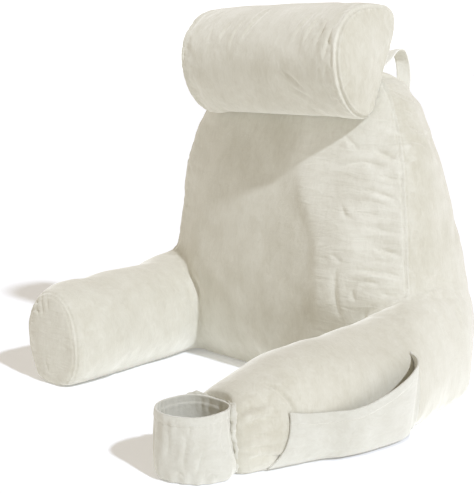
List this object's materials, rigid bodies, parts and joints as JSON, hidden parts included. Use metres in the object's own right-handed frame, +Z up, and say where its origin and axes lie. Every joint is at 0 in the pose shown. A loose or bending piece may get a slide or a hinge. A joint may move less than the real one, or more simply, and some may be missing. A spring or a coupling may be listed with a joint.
{
  "type": "reading pillow with arms",
  "caption": "Filled plush back cushion with arms, a strapped neck roll, an open side pocket and a round cup holder, for sitting up to read in bed or on the floor.",
  "frame": {"origin": "under the middle of the backrest's flat base, on the surface that it stands on", "axes": "+Z up; -Y is the sitter's side, where the arms point; +X is the side of the arm with the pocket and the cup holder"},
  "size_m": [0.7347, 0.7569, 0.6573],
  "materials": {
    "plush": "short velvet pile, brushed, ivory",
    "hemmed_plush": "doubled plush with a turned and stitched hem",
    "strap": "folded and stitched plush band"
  },
  "bodies": {
    "root": {"backrest": "plush", "arm_right": "plush", "arm_left": "plush", "neck_roll": "plush", "side_pocket": "hemmed_plush", "cup_holder": "hemmed_plush", "neck_strap_right": "strap", "neck_strap_left": "strap"}
  },
  "joints": []
}
